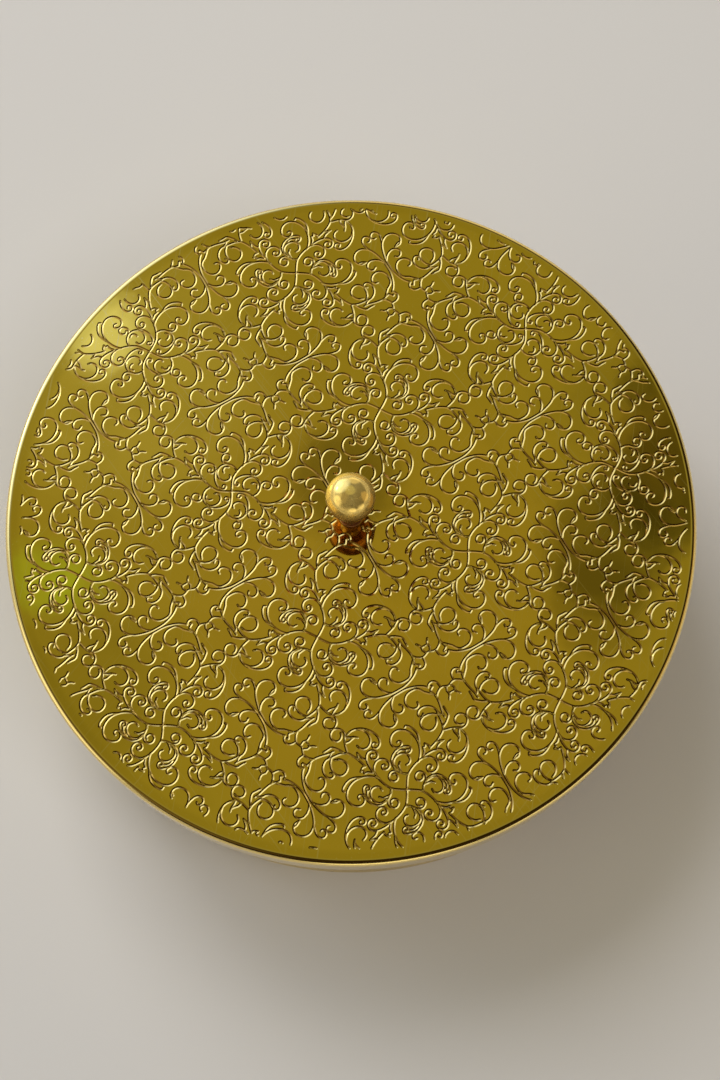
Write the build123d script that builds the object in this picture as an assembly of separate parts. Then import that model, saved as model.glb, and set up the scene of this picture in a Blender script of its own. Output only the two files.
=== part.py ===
from build123d import *
import math
import os

# Round metal box for flat breads: a deep-drawn pan with a rolled lip, a flat pressed lid
# that drops over the lip, a ball knob screwed on from below and a perforated plate on the
# floor that keeps the breads off the condensed steam. Millimetres, +Z up, the origin at
# the middle of the base.

# Pan
PAN_DIAMETER = 241.6        # over the outside of the wall
PAN_HEIGHT = 82.15          # base to the top of the rolled lip
PAN_SHEET = 0.7
LIP_RADIUS = 1.9            # outside of the roll
LIP_TURN = 285.0            # degrees that the edge is rolled round
PAN_CORNER = 4.0            # outside radius between the wall and the floor
FLOOR_RISE = 1.0            # the middle of the floor is pressed up by this much
STANDING_RING = 14.0        # width of the flat ring that the pan stands on
FLOOR_STEP = 3.0            # width of the slope between the ring and the raised middle
FLOOR_BEND = 2.0            # bend radius at both ends of that slope, middle of the sheet

# Lid
LID_SHEET = 0.7
LID_SIDE_CLEARANCE = 0.4    # lip to the inside of the skirt
LID_SEAT_GAP = 0.15         # lip to the underside of the flat top
LID_EDGE_RADIUS = 2.1       # outside radius between the flat top and the skirt
SKIRT_DEPTH = 15.0          # flat top to the lower edge of the skirt

# Knob
BALL_DIAMETER = 17.5
KNOB_HEIGHT = 32.0          # flat top to the top of the ball
BALL_SEAT_DIAMETER = 7.6    # flat under the ball, and the collar that it sits on
SPIGOT_DIAMETER = 4.6
SPIGOT_LENGTH = 6.0
SPIGOT_CLEARANCE = 0.02
SPIGOT_END_GAP = 0.5
FOOT_DIAMETER = 9.0
FOOT_THICKNESS = 1.2
FOOT_ROUND = 0.4
NECK_BASE_DIAMETER = 7.8
SHANK_DIAMETER = 6.4
SHANK_HEIGHT = 6.0
WAIST_DIAMETER = 4.8
WAIST_HEIGHT = 10.8
COLLAR_THICKNESS = 0.9

# Screw and washers under the lid
SCREW_DIAMETER = 4.0
SCREW_LENGTH = 8.0          # under the head
SCREW_HOLE_DEPTH = 6.2
THREAD_CLEARANCE = 0.02
SCREW_END_BEVEL = 0.4
HEAD_DIAMETER = 8.0
HEAD_HEIGHT = 2.4
HEAD_ROUND = 1.2
SLOT_WIDTH = 1.2
SLOT_DEPTH = 1.0
CLEARANCE_HOLE_DIAMETER = 4.3
FLAT_WASHER_DIAMETER = 12.0
FLAT_WASHER_THICKNESS = 1.0
SPRING_WASHER_DIAMETER = 7.6
SPRING_WASHER_THICKNESS = 0.9
SPRING_WASHER_SLIT = 0.8

# Steam plate
PLATE_SHEET = 0.8
PLATE_STAND = 11.0          # top of the plate above the floor ring
PLATE_CORNER = 2.0          # outside radius between the plate and its turned-down edge
PLATE_FLOOR_CLEARANCE = 0.5  # turned-down edge to where the pan's corner begins
PLATE_SEAT_GAP = 0.1
FINGER_HOLE_DIAMETER = 22.0
STEAM_HOLE_DIAMETER = 5.0
STEAM_HOLE_PITCH = 18.0     # along each ring
STEAM_RINGS = 5
STEAM_RING_MARGIN = 12.0    # first ring to the finger hole and last ring to the edge

# Largest share of a straight run that one bend beside it takes up
RUN_SHARE = 0.49

# Places that follow from the sizes above
pan_inner_radius = PAN_DIAMETER / 2 - PAN_SHEET
pan_floor_top = PAN_SHEET
lip_centre_radius = pan_inner_radius + LIP_RADIUS
lip_outer_radius = lip_centre_radius + LIP_RADIUS
skirt_inner_radius = lip_outer_radius + LID_SIDE_CLEARANCE
skirt_outer_radius = skirt_inner_radius + LID_SHEET
lid_top = PAN_HEIGHT + LID_SEAT_GAP + LID_SHEET
lid_underside = lid_top - LID_SHEET
ball_centre = lid_top + KNOB_HEIGHT - BALL_DIAMETER / 2
ball_seat = ball_centre - math.sqrt(BALL_DIAMETER ** 2 - BALL_SEAT_DIAMETER ** 2) / 2
flat_washer_bottom = lid_underside - FLAT_WASHER_THICKNESS
spring_washer_bottom = flat_washer_bottom - SPRING_WASHER_THICKNESS
plate_radius = PAN_DIAMETER / 2 - PAN_CORNER - PLATE_FLOOR_CLEARANCE
plate_bottom = pan_floor_top + PLATE_SEAT_GAP
plate_top = pan_floor_top + PLATE_STAND


def turned(section):
    """Solid turned about the upright axis from a section drawn as radius and height."""
    return revolve(Plane.XZ * section, Axis.Z)


def bent_line(points, wanted_radii):
    """Line through the points with round bends, each no larger than its runs allow."""
    radii = []
    for before, corner, after, wanted in zip(points, points[1:], points[2:], wanted_radii):
        run_in = Vector(*corner) - Vector(*before)
        run_out = Vector(*after) - Vector(*corner)
        half_turn = math.radians(run_in.get_angle(run_out)) / 2
        room = RUN_SHARE * min(run_in.length, run_out.length) / math.tan(half_turn)
        radii.append(min(wanted, room))
    return FilletPolyline(*points, radius=radii)


def sheet_section(middle_line, thickness):
    """Section of a sheet of even thickness that follows its middle line."""
    one_side = offset(middle_line, amount=thickness / 2, side=Side.LEFT, closed=False)
    other_side = offset(middle_line, amount=thickness / 2, side=Side.RIGHT, closed=False)
    first_end = Line(one_side @ 1, other_side @ 0)
    last_end = Line(other_side @ 1, one_side @ 0)
    return make_face(one_side + first_end + other_side + last_end)


def make_body_pan():
    """Pan drawn from one sheet: raised floor, standing ring, wall and rolled lip."""
    half_sheet = PAN_SHEET / 2
    wall = PAN_DIAMETER / 2 - half_sheet
    ring_inside = PAN_DIAMETER / 2 - PAN_CORNER - STANDING_RING
    lip_centre_height = PAN_HEIGHT - LIP_RADIUS
    corners = [
        (0, FLOOR_RISE + half_sheet),
        (ring_inside - FLOOR_STEP, FLOOR_RISE + half_sheet),
        (ring_inside, half_sheet),
        (wall, half_sheet),
        (wall, lip_centre_height),
    ]
    walls = bent_line(corners, [FLOOR_BEND, FLOOR_BEND, PAN_CORNER - half_sheet])
    roll = CenterArc(
        (lip_centre_radius, lip_centre_height), LIP_RADIUS - half_sheet, 180, -LIP_TURN
    )
    return turned(sheet_section(walls + roll, PAN_SHEET))


def make_lid_pan():
    """Lid pressed from one sheet: flat top, rounded edge and skirt."""
    half_sheet = LID_SHEET / 2
    flat = lid_top - half_sheet
    skirt = skirt_outer_radius - half_sheet
    corners = [(0, flat), (skirt, flat), (skirt, lid_top - SKIRT_DEPTH)]
    middle_line = bent_line(corners, [LID_EDGE_RADIUS - half_sheet])
    blank = turned(sheet_section(middle_line, LID_SHEET))
    screw_hole = Cylinder(CLEARANCE_HOLE_DIAMETER / 2, 4 * LID_SHEET)
    return blank - Pos(0, 0, flat) * screw_hole


def make_knob_stem():
    """Turned spool between the lid and the ball, with a spigot that enters the ball."""
    neck = Spline(
        (NECK_BASE_DIAMETER / 2, FOOT_THICKNESS),
        (SHANK_DIAMETER / 2, SHANK_HEIGHT),
        (WAIST_DIAMETER / 2, WAIST_HEIGHT),
        (BALL_SEAT_DIAMETER / 2, ball_seat - lid_top - COLLAR_THICKNESS),
    )
    collar_height = ball_seat - lid_top
    foot = FilletPolyline(
        (0, 0),
        (FOOT_DIAMETER / 2, 0),
        (FOOT_DIAMETER / 2, FOOT_THICKNESS),
        neck @ 0,
        radius=[0, FOOT_ROUND],
    )
    upper = Polyline(
        neck @ 1,
        (BALL_SEAT_DIAMETER / 2, collar_height),
        (SPIGOT_DIAMETER / 2, collar_height),
        (SPIGOT_DIAMETER / 2, collar_height + SPIGOT_LENGTH),
        (0, collar_height + SPIGOT_LENGTH),
        (0, 0),
    )
    spool = turned(make_face(foot + neck + upper))
    hole = Cylinder(
        SCREW_DIAMETER / 2 + THREAD_CLEARANCE,
        SCREW_HOLE_DEPTH,
        align=(Align.CENTER, Align.CENTER, Align.MIN),
    )
    return Pos(0, 0, lid_top) * (spool - hole)


def make_knob_ball():
    """Polished ball with a flat seat and a blind hole for the spigot."""
    ball = Pos(0, 0, ball_centre) * Sphere(BALL_DIAMETER / 2)
    below_seat = Pos(0, 0, ball_seat) * Cylinder(
        BALL_DIAMETER, BALL_DIAMETER, align=(Align.CENTER, Align.CENTER, Align.MAX)
    )
    hole = Pos(0, 0, ball_seat) * Cylinder(
        SPIGOT_DIAMETER / 2 + SPIGOT_CLEARANCE,
        SPIGOT_LENGTH + SPIGOT_END_GAP,
        align=(Align.CENTER, Align.CENTER, Align.MIN),
    )
    return ball - below_seat - hole


def make_knob_screw():
    """Slotted pan-head screw that comes up from under the lid."""
    shank = Cylinder(
        SCREW_DIAMETER / 2, SCREW_LENGTH, align=(Align.CENTER, Align.CENTER, Align.MIN)
    )
    shank = chamfer(shank.edges().sort_by(Axis.Z)[-1], SCREW_END_BEVEL)
    head = Cylinder(
        HEAD_DIAMETER / 2, HEAD_HEIGHT, align=(Align.CENTER, Align.CENTER, Align.MAX)
    )
    head = fillet(head.edges().sort_by(Axis.Z)[0], HEAD_ROUND)
    slot = Pos(0, 0, -HEAD_HEIGHT) * Box(
        2 * HEAD_DIAMETER,
        SLOT_WIDTH,
        SLOT_DEPTH,
        align=(Align.CENTER, Align.CENTER, Align.MIN),
    )
    return Pos(0, 0, spring_washer_bottom) * (shank + head - slot)


def make_flat_washer():
    """Wide flat washer against the underside of the thin lid."""
    disc = Cylinder(FLAT_WASHER_DIAMETER / 2, FLAT_WASHER_THICKNESS)
    hole = Cylinder(CLEARANCE_HOLE_DIAMETER / 2, 2 * FLAT_WASHER_THICKNESS)
    return Pos(0, 0, flat_washer_bottom + FLAT_WASHER_THICKNESS / 2) * (disc - hole)


def make_spring_washer():
    """Split spring washer, pressed flat under the screw head."""
    disc = Cylinder(SPRING_WASHER_DIAMETER / 2, SPRING_WASHER_THICKNESS)
    hole = Cylinder(CLEARANCE_HOLE_DIAMETER / 2, 2 * SPRING_WASHER_THICKNESS)
    slit = Box(
        SPRING_WASHER_DIAMETER,
        SPRING_WASHER_SLIT,
        2 * SPRING_WASHER_THICKNESS,
        align=(Align.MIN, Align.CENTER, Align.CENTER),
    )
    middle = spring_washer_bottom + SPRING_WASHER_THICKNESS / 2
    return Pos(0, 0, middle) * (disc - hole - slit)


def steam_hole_places():
    """Middles of the steam holes, on evenly spaced rings."""
    first_ring = FINGER_HOLE_DIAMETER / 2 + STEAM_RING_MARGIN
    last_ring = plate_radius - STEAM_RING_MARGIN
    places = []
    for ring in range(STEAM_RINGS):
        radius = first_ring + (last_ring - first_ring) * ring / (STEAM_RINGS - 1)
        count = round(2 * math.pi * radius / STEAM_HOLE_PITCH)
        places += PolarLocations(radius, count)
    return places


def make_steam_plate():
    """Perforated plate with a turned-down edge that stands on the floor of the pan."""
    half_sheet = PLATE_SHEET / 2
    corners = [
        (0, plate_top - half_sheet),
        (plate_radius - half_sheet, plate_top - half_sheet),
        (plate_radius - half_sheet, plate_bottom),
    ]
    middle_line = bent_line(corners, [PLATE_CORNER - half_sheet])
    blank = turned(sheet_section(middle_line, PLATE_SHEET))
    finger_hole = Cylinder(FINGER_HOLE_DIAMETER / 2, 4 * PLATE_SHEET)
    steam_hole = Cylinder(STEAM_HOLE_DIAMETER / 2, 4 * PLATE_SHEET)
    holes = [place * steam_hole for place in steam_hole_places()]
    height = Pos(0, 0, plate_top - half_sheet)
    return blank - [height * hole for hole in holes + [finger_hole]]


SUBPARTS = {
    "body_pan": make_body_pan,
    "lid_pan": make_lid_pan,
    "knob_stem": make_knob_stem,
    "knob_ball": make_knob_ball,
    "knob_screw": make_knob_screw,
    "flat_washer": make_flat_washer,
    "spring_washer": make_spring_washer,
    "steam_plate": make_steam_plate,
}

os.makedirs("parts", exist_ok=True)
for node, make in SUBPARTS.items():
    export_step(make(), f"parts/{node}.step")
print("lid diameter", round(2 * skirt_outer_radius, 2), "flat top at", round(lid_top, 2))
print("knob top at", round(lid_top + KNOB_HEIGHT, 2))
print("steam plate", round(2 * plate_radius, 2), "top at", round(plate_top, 2))
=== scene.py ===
# %% [markdown]
# # A round brass box for flat breads
# The real object is a low round pan with a flat lid. The lid is pressed from thin brass sheet,
# engraved all over with scrolls, and lifted by a small polished ball on a turned stem. Inside lies
# a perforated steel plate that keeps the breads off the condensed steam.
#
# The construction model gives every place and size. This script gives the box its looks: the
# engraving, the polish and the light. All lengths are named in millimetres and made metres at the
# last moment, because a maker thinks in millimetres and Blender works in metres.

# %% Load the frame and note its size
import math

import bmesh
import bpy
from mathutils import Matrix, Vector
from mathutils.geometry import delaunay_2d_cdt
from mathutils.kdtree import KDTree


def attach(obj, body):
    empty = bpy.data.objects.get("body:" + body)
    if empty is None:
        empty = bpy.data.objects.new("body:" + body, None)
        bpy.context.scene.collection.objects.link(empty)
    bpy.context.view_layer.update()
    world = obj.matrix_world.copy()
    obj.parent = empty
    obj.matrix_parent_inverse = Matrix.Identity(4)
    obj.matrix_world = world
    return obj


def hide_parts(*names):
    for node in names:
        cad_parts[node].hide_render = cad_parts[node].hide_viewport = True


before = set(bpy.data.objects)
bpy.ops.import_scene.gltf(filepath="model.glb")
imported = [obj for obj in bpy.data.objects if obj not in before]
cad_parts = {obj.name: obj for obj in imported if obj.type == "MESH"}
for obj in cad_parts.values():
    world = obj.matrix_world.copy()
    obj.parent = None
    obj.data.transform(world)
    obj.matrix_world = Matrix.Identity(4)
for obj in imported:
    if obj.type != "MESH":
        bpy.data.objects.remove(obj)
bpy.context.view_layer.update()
MM = 0.001


# %% [markdown]
# ## The camera
# The photograph looks down on the lid from the near side. The lid's outline is an ellipse in the
# picture, and an ellipse of known proportions gives the tilt and the distance. The lens follows
# from how fast straight lines on the ground run together. The camera is tilted first, then
# rolled, then aimed a little to one side, as a camera in the hand is.

# %% Camera
SENSOR_LONG_SIDE = 36.0       # mm
LENS = 59.73                  # mm, for that sensor
CAMERA_TILT = 15.81           # degrees between the line of sight and straight down
CAMERA_ROLL = -1.49           # degrees
CAMERA_AIM_SIDE = 0.29        # degrees
CAMERA_AIM_UP = 0.78          # degrees
CAMERA_DISTANCE = 646.8       # mm from the middle of the lid
NEAREST_SEEN = 10.0           # mm in front of the lens
LID_TOP = 83.0                # mm, the flat top of the lid above the base


def turn(degrees, axis):
    """A turn about one axis."""
    return Matrix.Rotation(math.radians(degrees), 4, axis)


def make_camera():
    """A camera at the photograph's place, looking the way it looked."""
    data = bpy.data.cameras.new("photo_camera")
    data.sensor_width = SENSOR_LONG_SIDE
    data.lens = LENS
    data.clip_start = NEAREST_SEEN * MM
    camera = bpy.data.objects.new("photo_camera", data)
    bpy.context.scene.collection.objects.link(camera)
    base_view = turn(CAMERA_TILT, "X") @ turn(CAMERA_ROLL, "Z")
    aim = turn(-CAMERA_AIM_SIDE, "Y") @ turn(-CAMERA_AIM_UP, "X")
    lid_middle = Matrix.Translation((0, 0, LID_TOP * MM))
    step_back = Matrix.Translation((0, 0, CAMERA_DISTANCE * MM))
    camera.matrix_world = lid_middle @ base_view @ step_back @ aim
    bpy.context.scene.camera = camera
    return camera


camera = make_camera()
print("camera at", [round(value, 4) for value in camera.matrix_world.translation])

# %% [markdown]
# ## Turned and pressed sheet
# Every large piece of this box is round, so each can be spun from one drawn line. The line could
# be typed in point by point, but a pressed sheet is better drawn as the workshop bends it: a
# middle line with straight runs and round bends, and then the same thickness on both sides. The
# helpers below draw such a line, give it a thickness and spin it round the upright axis.

# %% Helpers for round pieces
RUN_SHARE = 0.49              # largest share of a run that one bend takes up
ARC_STEP = math.radians(10)   # one facet of a bend
FEWEST_FACETS = 3             # in a bend
MERGE_DISTANCE = 0.0005       # mm


def arc_points(centre, radius, start, sweep, count=None):
    """Points round an arc, start and sweep in radians, both ends included."""
    count = count or max(FEWEST_FACETS, math.ceil(abs(sweep) / ARC_STEP))
    points = []
    for step in range(count + 1):
        angle = start + sweep * step / count
        points.append(centre + radius * Vector((math.cos(angle), math.sin(angle))))
    return points


def bent_line(corners, wanted_radii):
    """Middle line of a bent sheet: straight runs joined by round bends."""
    corners = [Vector(corner) for corner in corners]
    line = [corners[0]]
    for before, corner, after, wanted in zip(corners, corners[1:], corners[2:], wanted_radii):
        run_in = corner - before
        run_out = after - corner
        turn_angle = math.atan2(run_in.cross(run_out), run_in.dot(run_out))
        half_tangent = math.tan(abs(turn_angle) / 2)
        room = RUN_SHARE * min(run_in.length, run_out.length) / half_tangent
        radius = min(wanted, room)
        side = math.copysign(1, turn_angle)
        first = corner - run_in.normalized() * radius * half_tangent
        inward = side * Vector((-run_in.y, run_in.x)).normalized()
        centre = first + inward * radius
        start = math.atan2(first.y - centre.y, first.x - centre.x)
        line += arc_points(centre, radius, start, turn_angle)
    line.append(corners[-1])
    return line


def both_sides(line, width):
    """The two sides of a band along its middle line: left of the line, then right."""
    left = []
    right = []
    for index, point in enumerate(line):
        before = line[max(index - 1, 0)]
        after = line[min(index + 1, len(line) - 1)]
        along = (after - before).normalized()
        across = Vector((-along.y, along.x)) * width / 2
        left.append(point + across)
        right.append(point - across)
    return left, right


def spun(outline, facets):
    """A bmesh in metres, spun round the upright axis from a line of radius and height."""
    shape = bmesh.new()
    verts = [shape.verts.new((point[0] * MM, 0, point[1] * MM)) for point in outline]
    edges = [shape.edges.new(pair) for pair in zip(verts, verts[1:])]
    bmesh.ops.spin(
        shape, geom=verts + edges, cent=(0, 0, 0), axis=(0, 0, 1), dvec=(0, 0, 0),
        angle=2 * math.pi, steps=facets, use_merge=True, use_duplicate=False,
    )
    bmesh.ops.remove_doubles(shape, verts=shape.verts[:], dist=MERGE_DISTANCE * MM)
    bmesh.ops.recalc_face_normals(shape, faces=shape.faces[:])
    return shape


def placed_object(name, shape, materials):
    """An object in the scene, from a bmesh and its materials."""
    mesh = bpy.data.meshes.new(name)
    shape.to_mesh(mesh)
    shape.free()
    for material in materials:
        mesh.materials.append(material)
    piece = bpy.data.objects.new(name, mesh)
    bpy.context.scene.collection.objects.link(piece)
    return piece


def finished(name, shape, body, nodes, materials, sharp_degrees):
    """Turns a bmesh into a piece that rides on its body and stands for its nodes."""
    piece = placed_object(name, shape, materials)
    piece.data.shade_smooth()
    piece.data.set_sharp_from_angle(angle=math.radians(sharp_degrees))
    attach(piece, body)
    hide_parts(*nodes)
    print(name, "has", len(piece.data.polygons), "faces")
    return piece


# %% [markdown]
# ## Finishes
# All the brass is one alloy, but each piece was finished in its own way: the lid is polished,
# lacquered yellow and then engraved, the ball is buffed brighter, the pan is satin from the
# lathe. Each finish is a metal whose roughness and small bumps come from noise, stretched along
# the way the tool moved. The patterns read object coordinates, so they stay put when the lid is
# lifted.

# %% Helpers for finishes
FIRST_COLOUR = 6              # sockets of the mix node that take and give colours
SECOND_COLOUR = 7
MIXED_COLOUR = 2
RING_DETAIL = 3.0             # of the noise that makes lathe rings


def is_socket(value):
    """True for another node's output, False for a plain value."""
    return isinstance(value, bpy.types.NodeSocket)


def set_inputs(tree, node, inputs):
    """Links each input to a socket, or sets it to a value."""
    for socket, value in inputs.items():
        if is_socket(value):
            tree.links.new(value, node.inputs[socket])
        else:
            node.inputs[socket].default_value = value


def new_finish(name):
    """An empty metal: its material, node tree and shader."""
    material = bpy.data.materials.new(name)
    material.use_nodes = True
    tree = material.node_tree
    shader = tree.nodes["Principled BSDF"]
    shader.inputs["Metallic"].default_value = 1.0
    return material, tree, shader


def add(tree, kind, inputs=None, **settings):
    """Adds a node, sets it, and links or sets its inputs."""
    node = tree.nodes.new(kind)
    for setting, value in settings.items():
        setattr(node, setting, value)
    set_inputs(tree, node, inputs or {})
    return node


def object_place(tree):
    """Where a point lies on its piece, in the piece's own metres."""
    return add(tree, "ShaderNodeTexCoord").outputs["Object"]


def noise(tree, place, scale, detail=2.0, stretch=(1, 1, 1), turned=0.0):
    """Noise between 0 and 1; scale is in features per metre, turned before it is stretched."""
    mapping = add(tree, "ShaderNodeMapping", {
        "Vector": place,
        "Rotation": (0, 0, math.radians(turned)),
        "Scale": [1 / amount for amount in stretch],
    }, vector_type="TEXTURE")
    texture = add(tree, "ShaderNodeTexNoise", {
        "Vector": mapping.outputs["Vector"],
        "Scale": scale,
        "Detail": detail,
    })
    return texture.outputs["Fac"]


def between(tree, value, low, high, to_low, to_high):
    """Maps a value from one range to another, without going past its ends."""
    node = add(tree, "ShaderNodeMapRange", {
        "Value": value, "From Min": low, "From Max": high, "To Min": to_low, "To Max": to_high,
    })
    return node.outputs["Result"]


def calculate(tree, operation, first, second):
    """Adds, multiplies or compares two values."""
    return add(tree, "ShaderNodeMath", {0: first, 1: second}, operation=operation).outputs[0]


def highest(tree, values):
    """The highest of several values."""
    top = values[0]
    for value in values[1:]:
        top = calculate(tree, "MAXIMUM", top, value)
    return top


def blotches(tree, place, scale, detail, start, full, least, most):
    """An effect that grows from least to most as the noise goes from start to full."""
    return between(tree, noise(tree, place, scale, detail), start, full, least, most)


def dents(tree, place, scale, detail, height):
    """One layer of bumps from noise, and how high it stands in millimetres."""
    return noise(tree, place, scale, detail), height


def opaque(colour):
    """A colour as the nodes take it; a socket stays as it is."""
    return colour if is_socket(colour) else (*colour, 1.0)


def mixed(tree, share, first, second):
    """Mixes two colours."""
    node = add(tree, "ShaderNodeMix", {
        "Factor": share, FIRST_COLOUR: opaque(first), SECOND_COLOUR: opaque(second),
    }, data_type="RGBA")
    return node.outputs[MIXED_COLOUR]


def bumped(tree, shader, layers):
    """Adds bumps from (noise, height in millimetres) layers to the shader."""
    normal = None
    for layer, height in layers:
        inputs = {"Height": layer, "Distance": height * MM, "Strength": 1.0}
        if normal is not None:
            inputs["Normal"] = normal
        normal = add(tree, "ShaderNodeBump", inputs).outputs["Normal"]
    tree.links.new(normal, shader.inputs["Normal"])


def lathe_coordinates(tree, place):
    """Radius and height of a place on a turned piece."""
    parts = add(tree, "ShaderNodeSeparateXYZ", {"Vector": place})
    flat = add(tree, "ShaderNodeCombineXYZ", {"X": parts.outputs["X"], "Y": parts.outputs["Y"]})
    radius = add(
        tree, "ShaderNodeVectorMath", {0: flat.outputs["Vector"]}, operation="LENGTH"
    ).outputs["Value"]
    return radius, parts.outputs["Z"]


def lathe_rings(tree, place, scale, ring_height):
    """A layer of rings round a turned piece: noise that reads only radius and height."""
    radius, height = lathe_coordinates(tree, place)
    around = add(tree, "ShaderNodeCombineXYZ", {"X": radius, "Y": height})
    return dents(tree, around.outputs["Vector"], scale, RING_DETAIL, ring_height)


# %% [markdown]
# The engraved brass is the finish that the eye rests on. Five things make it real: a faint
# unevenness of the thin sheet, which bends reflections; hair scratches from wiping, in three
# directions; clouds, patches and specks, where the lacquer has aged; paler, rougher brass inside
# the grooves, where the graver went through the yellow lacquer; and a dull border with a pale
# edge, where hands have worn the lacquer off. The ball is painted darker and redder underneath,
# as painted shade.

# %% Brass finishes
LACQUERED = (0.86, 0.58, 0.052)    # linear colour of the lid under its yellow lacquer
OLD_LACQUER = (0.65, 0.44, 0.03)
CUT_BRASS = (0.86, 0.60, 0.19)     # where the graver cut through the lacquer
WORN_BRASS = (0.90, 0.70, 0.27)    # where hands wore the lacquer off
BUFFED = (0.97, 0.70, 0.20)        # the ball, and its duller places
BUFFED_DULL = (0.84, 0.52, 0.08)
# Dark red: partly the stem's own red brass, partly painted shade under the ball.
RED_BRASS_AND_SHADE = (0.32, 0.12, 0.035)    # the stem and the ball's underside
WAXED_METAL = 0.68                 # share of bare metal under the knob's film of wax and dust
POLISHED = (0.86, 0.66, 0.20)      # the pan
TARNISHED = (0.62, 0.44, 0.09)

# Blotches: how many to the metre, detail, the noise where they start and where they are full,
# and the least and the most that they do.
LACQUER_CLOUDS = (9.0, 3.0, 0.42, 0.72, 0.0, 0.4)
LACQUER_PATCHES = (60.0, 3.0, 0.45, 0.75, 0.0, 0.45)
LACQUER_SPECKS = (1300.0, 1.0, 0.70, 0.78, 0.0, 0.6)
LID_SMEARS = (30.0, 4.0, 0.3, 0.75, 0.02, 0.06)       # roughness
KNOB_CLOUDS = (160.0, 3.0, 0.4, 0.75, 0.0, 0.5)
KNOB_SMEARS = (330.0, 3.0, 0.42, 0.62, 0.04, 0.28)    # roughness
PAN_CLOUDS = (14.0, 4.0, 0.35, 0.7, 0.0, 0.8)

# Dents: how many to the metre, detail, and their height in mm.
LID_WAVES = (22.0, 1.0, 0.05)
LID_RIPPLES = (75.0, 2.0, 0.02)
KNOB_DENTS = (170.0, 1.0, 0.3)
KNOB_RIPPLES = (520.0, 2.0, 0.03)
PAN_DENTS = (25.0, 2.0, 0.08)

SCRATCH_LAYERS = [(50, 12.0), (80, 14.0), (125, 11.0)]    # degrees turned, how many to the metre
SCRATCH_STRETCH = (1, 90, 1)
SCRATCH_NOISE = (0.65, 0.73)       # noise at a scratch's edge and in its middle
SCRATCH_DEPTH = 0.0006             # mm
SCRATCH_PALE = 0.5                 # share of worn brass that shows in a scratch
CUT_START = 0.005                  # mm below the flat brass, where the graver is through
CUT_FULL = 0.03
FACE_FADE = 0.5                    # mm inside the engraved face's edge, where grooves end
WORN_WIDTH = 1.2                   # mm outside the engraved face
DULL_START = 4.0                   # mm inside the engraved face's edge
DULL_FULL = 1.5
DULL_MOST = 0.5
SCRATCH_ROUGHNESS = 0.04
WORN_ROUGHNESS = 0.17
CUT_ROUGHNESS = 0.16
COAT_ROUGHNESS = 0.03
LACQUER_COAT = 0.3
WAX_COAT = 0.2
SHADE_FADE = 3.5                     # mm of height over which the painted shade underneath fades in
KNOB_RINGS = (2500.0, 0.001)       # to the metre, and their height in mm
PAN_RINGS = (900.0, 0.008)
MARK_NOISE = (0.3, 0.7)            # noise in the bottom and on the top of a ring or line
PAN_ROUGHNESS = (0.2, 0.38)        # there


def hair_scratches(tree, place):
    """Fine scratches in three directions: 1 in a scratch, 0 beside it."""
    layers = []
    for turned, scale in SCRATCH_LAYERS:
        layer = noise(tree, place, scale, stretch=SCRATCH_STRETCH, turned=turned)
        layers.append(between(tree, layer, *SCRATCH_NOISE, 0.0, 1.0))
    return highest(tree, layers)


def cut_share(tree, radius, height):
    """1 inside the grooves, 0 on the flat brass and on the rim."""
    full = (LID_TOP - CUT_FULL) * MM
    start = (LID_TOP - CUT_START) * MM
    sunk = between(tree, height, full, start, 1.0, 0.0)
    on_face = between(
        tree, radius, (FACE_OUTSIDE - FACE_FADE) * MM, FACE_OUTSIDE * MM, 1.0, 0.0
    )
    return calculate(tree, "MULTIPLY", sunk, on_face)


def lid_colour(tree, place, radius, worn_edge, scratches):
    """Colour of the lid beside its grooves: yellow lacquer, aged and worn."""
    dull_border = between(
        tree, radius, (FACE_OUTSIDE - DULL_START) * MM, (FACE_OUTSIDE - DULL_FULL) * MM,
        0.0, DULL_MOST,
    )
    clouds = blotches(tree, place, *LACQUER_CLOUDS)
    patches = blotches(tree, place, *LACQUER_PATCHES)
    specks = blotches(tree, place, *LACQUER_SPECKS)
    pale_scratches = calculate(tree, "MULTIPLY", scratches, SCRATCH_PALE)
    aged = highest(tree, [clouds, patches, dull_border])
    worn = highest(tree, [worn_edge, specks, pale_scratches])
    return mixed(tree, worn, mixed(tree, aged, LACQUERED, OLD_LACQUER), WORN_BRASS)


def lid_roughness(tree, place, in_groove, worn_edge, scratches):
    """Roughness of the lid: smooth lacquer, rougher where it is scratched, worn or cut."""
    smears = blotches(tree, place, *LID_SMEARS)
    scratch = calculate(tree, "MULTIPLY", scratches, SCRATCH_ROUGHNESS)
    edge = calculate(tree, "MULTIPLY", worn_edge, WORN_ROUGHNESS)
    rubbed = highest(tree, [calculate(tree, "ADD", smears, scratch), edge])
    return between(tree, in_groove, 0.0, 1.0, rubbed, CUT_ROUGHNESS)


def engraved_brass():
    """Polished and lacquered brass, with bare brass in the grooves and at the worn edge."""
    material, tree, shader = new_finish("engraved_brass")
    place = object_place(tree)
    radius, height = lathe_coordinates(tree, place)
    in_groove = cut_share(tree, radius, height)
    worn_edge = between(
        tree, radius, FACE_OUTSIDE * MM, (FACE_OUTSIDE + WORN_WIDTH) * MM, 0.0, 1.0
    )
    scratches = hair_scratches(tree, place)
    flat_colour = lid_colour(tree, place, radius, worn_edge, scratches)
    set_inputs(tree, shader, {
        "Base Color": mixed(tree, in_groove, flat_colour, CUT_BRASS),
        "Roughness": lid_roughness(tree, place, in_groove, worn_edge, scratches),
        "Coat Weight": between(tree, in_groove, 0.0, 1.0, LACQUER_COAT, 0.0),
        "Coat Roughness": COAT_ROUGHNESS,
    })
    waves = dents(tree, place, *LID_WAVES)
    ripples = dents(tree, place, *LID_RIPPLES)
    bumped(tree, shader, [waves, ripples, (scratches, SCRATCH_DEPTH)])
    return material


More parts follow.
